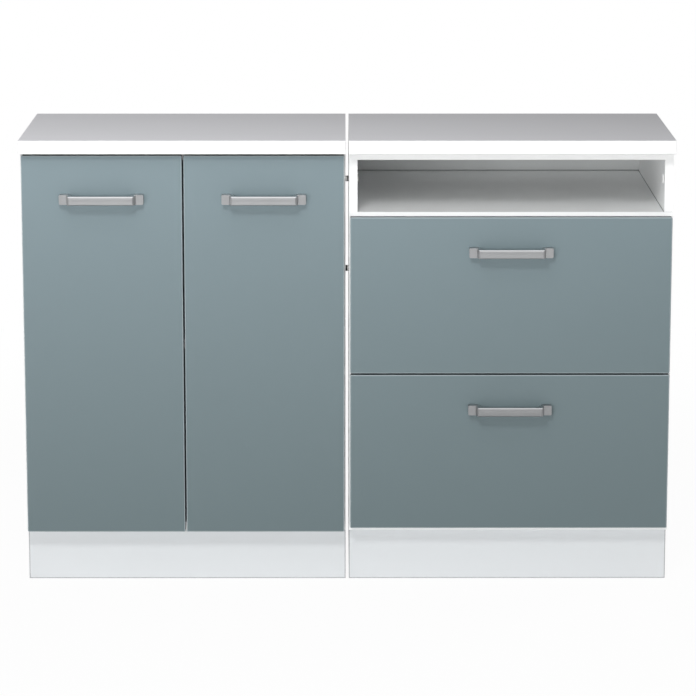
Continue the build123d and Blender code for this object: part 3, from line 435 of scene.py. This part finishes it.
def spacer_rubber():
    """White rings with a black face as painted shade in the gap between the units: on the right at the
    highest one, on the left at the others.
    """
    shade = Shade("spacer_rubber")
    white, gap_shade_black = linear(236, 236, 234), linear(26, 27, 28)
    grain = shade.noise(900)
    is_highest = shade.above(shade.z, spacers_high.z - SPACER_SPAN)
    on_right = shade.above(shade.x, 0.0)
    # Painted shade: the black face stands for the dark gap between the units
    colour = shade.mix(shade.same(is_highest, on_right), white, gap_shade_black)
    colour = shade.vary(colour, grain, 0.95, 1.05)
    shade.bump(grain, distance=0.00003, strength=0.5)
    return shade.finish(colour, grain, 0.44, 0.56)


def finish_parts():
    """Give each part of the frame the finish of its slot in the record."""
    finishes = {
        "front_finish": front_foil(),
        "carcass_laminate": melamine("carcass_laminate", (249, 250, 250), carcass_lines),
        "back_board": back_board(),
        "worktop_laminate": worktop_laminate(),
        # The plinth's tone is darker than the carcass white, as painted shade for its recess under the
        # fronts
        "plinth_laminate": melamine("plinth_laminate", (216, 219, 221), plinth_shade_lines),
        "drawer_board": melamine("drawer_board", (238, 239, 239)),
        "handle_metal": brushed_nickel(),
        "hinge_steel": plated_steel("hinge_steel", (196, 196, 196), grain_scale=420),
        "fastener_steel": plated_steel("fastener_steel", (190, 188, 183), grain_scale=700),
        "runner_enamel": runner_enamel(),
        "roller_nylon": plastic("roller_nylon", (224, 224, 218), roughness=0.4),
        "cap_plastic": plastic("cap_plastic", (240, 240, 240), roughness=0.38),
        "bumper_rubber": plastic("bumper_rubber", (206, 208, 206), roughness=0.5),
        "spacer_rubber": spacer_rubber(),
    }
    for part in frame["record"]["subparts"]:
        mesh = frame["nodes"][part["node"]].data
        mesh.materials.clear()
        mesh.materials.append(finishes[part["material_slot"]])


# Floor, world, lamps and camera
def build_floor():
    """A wide white floor. Its own brightness hides the horizon and leaves the shadows faint."""
    bpy.ops.mesh.primitive_plane_add(size=FLOOR_SIZE)
    floor = bpy.context.object
    floor.name = "floor"
    made = bpy.data.materials.new("floor_white")
    made.use_nodes = True
    nodes = Nodes(made.node_tree)
    nodes.tree.nodes.remove(nodes.tree.nodes["Principled BSDF"])
    diffuse = nodes.node("BsdfDiffuse", Color=(FLOOR_TONE, FLOOR_TONE, FLOOR_TONE, 1))
    glow = nodes.node("Emission", Color=WHITE_LIGHT)
    distance = nodes.tree.nodes.new("ShaderNodeVectorMath")
    distance.operation = "LENGTH"
    nodes.feed(distance.inputs[0], nodes.node("TexCoord").outputs["Object"])
    path = nodes.node("LightPath")
    seen = nodes.ramp(distance.outputs["Value"], *FLOOR_GLOW_REACH, *FLOOR_GLOW, smooth=True)
    seen = nodes.math("MULTIPLY", seen, path.outputs["Is Camera Ray"])
    mirrored = nodes.math("MULTIPLY", path.outputs["Is Glossy Ray"], FLOOR_GLOSS)
    surface = nodes.node("MixShader", Fac=nodes.math("MAXIMUM", seen, mirrored))
    nodes.feed(surface.inputs[1], diffuse.outputs[0])
    nodes.feed(surface.inputs[2], glow.outputs[0])
    nodes.feed(nodes.tree.nodes["Material Output"].inputs[0], surface.outputs[0])
    floor.data.materials.append(made)


def build_world():
    """An even surround: white to the camera, and weaker as a light.

    In gloss it is brightest above and at the left.
    """
    world = bpy.data.worlds.new("surround")
    bpy.context.scene.world = world
    world.use_nodes = True
    nodes = Nodes(world.node_tree)
    background = nodes.tree.nodes["Background"]
    background.inputs["Color"].default_value = WHITE_LIGHT
    direction = nodes.node("SeparateXYZ", Vector=nodes.node("TexCoord").outputs["Generated"])
    around = nodes.ramp(direction.outputs["X"], *GLOSS_SIDEWAYS, GLOSS_LEFT, GLOSS_RIGHT)
    around = nodes.ramp(direction.outputs["Y"], *GLOSS_FORWARDS, GLOSS_BEHIND, around)
    above = nodes.ramp(direction.outputs["Z"], *GLOSS_UPWARDS, 0.0, GLOSS_ABOVE)
    gloss = nodes.math("MAXIMUM", around, above)
    path = nodes.node("LightPath")
    strength = nodes.blend(path.outputs["Is Glossy Ray"], WORLD_LIGHT, gloss)
    strength = nodes.blend(path.outputs["Is Camera Ray"], strength, CAMERA_WHITE)
    nodes.feed(background.inputs["Strength"], strength)


def build_lamp(name, place, size, power, in_gloss=True):
    """A soft lamp that looks at the object, with or without its own highlights."""
    lamp = bpy.data.lights.new(name, "AREA")
    lamp.shape = "RECTANGLE"
    lamp.size, lamp.size_y = size
    lamp.energy = power
    held = bpy.data.objects.new(name, lamp)
    bpy.context.scene.collection.objects.link(held)
    held.visible_glossy = in_gloss
    held.location = place
    held.rotation_euler = (Vector(LAMP_TARGET) - Vector(place)).to_track_quat("-Z", "Y").to_euler()


def build_camera():
    """A camera at the photograph's viewpoint, pitched down at the object."""
    camera = bpy.data.cameras.new("camera")
    camera.sensor_width = SENSOR_WIDTH
    camera.lens = LENS
    held = bpy.data.objects.new("camera", camera)
    bpy.context.scene.collection.objects.link(held)
    held.location = CAMERA_PLACE
    held.rotation_euler = Euler((math.radians(LEVEL - CAMERA_PITCH), 0, math.radians(-CAMERA_YAW)))
    bpy.context.scene.camera = held


finish_parts()
build_floor()
build_world()
build_lamp("key_lamp", place=(-0.5, -3.1, 2.67), size=(0.6, 0.6), power=38)
build_lamp("top_lamp", place=(-0.4, -1.6, 2.6), size=(1.2, 0.8), power=7)
build_lamp("fill_lamp", place=(-0.7, -4.3, 0.95), size=(3.4, 0.8), power=76, in_gloss=False)
build_lamp("rear_left_lamp", place=(-2.8, 2.6, 1.1), size=(1.2, 1.0), power=30, in_gloss=False)
build_lamp("rear_right_lamp", place=(3.0, 1.8, 1.1), size=(1.2, 1.0), power=36, in_gloss=False)
build_camera()
bpy.context.scene.view_settings.view_transform = "Standard"
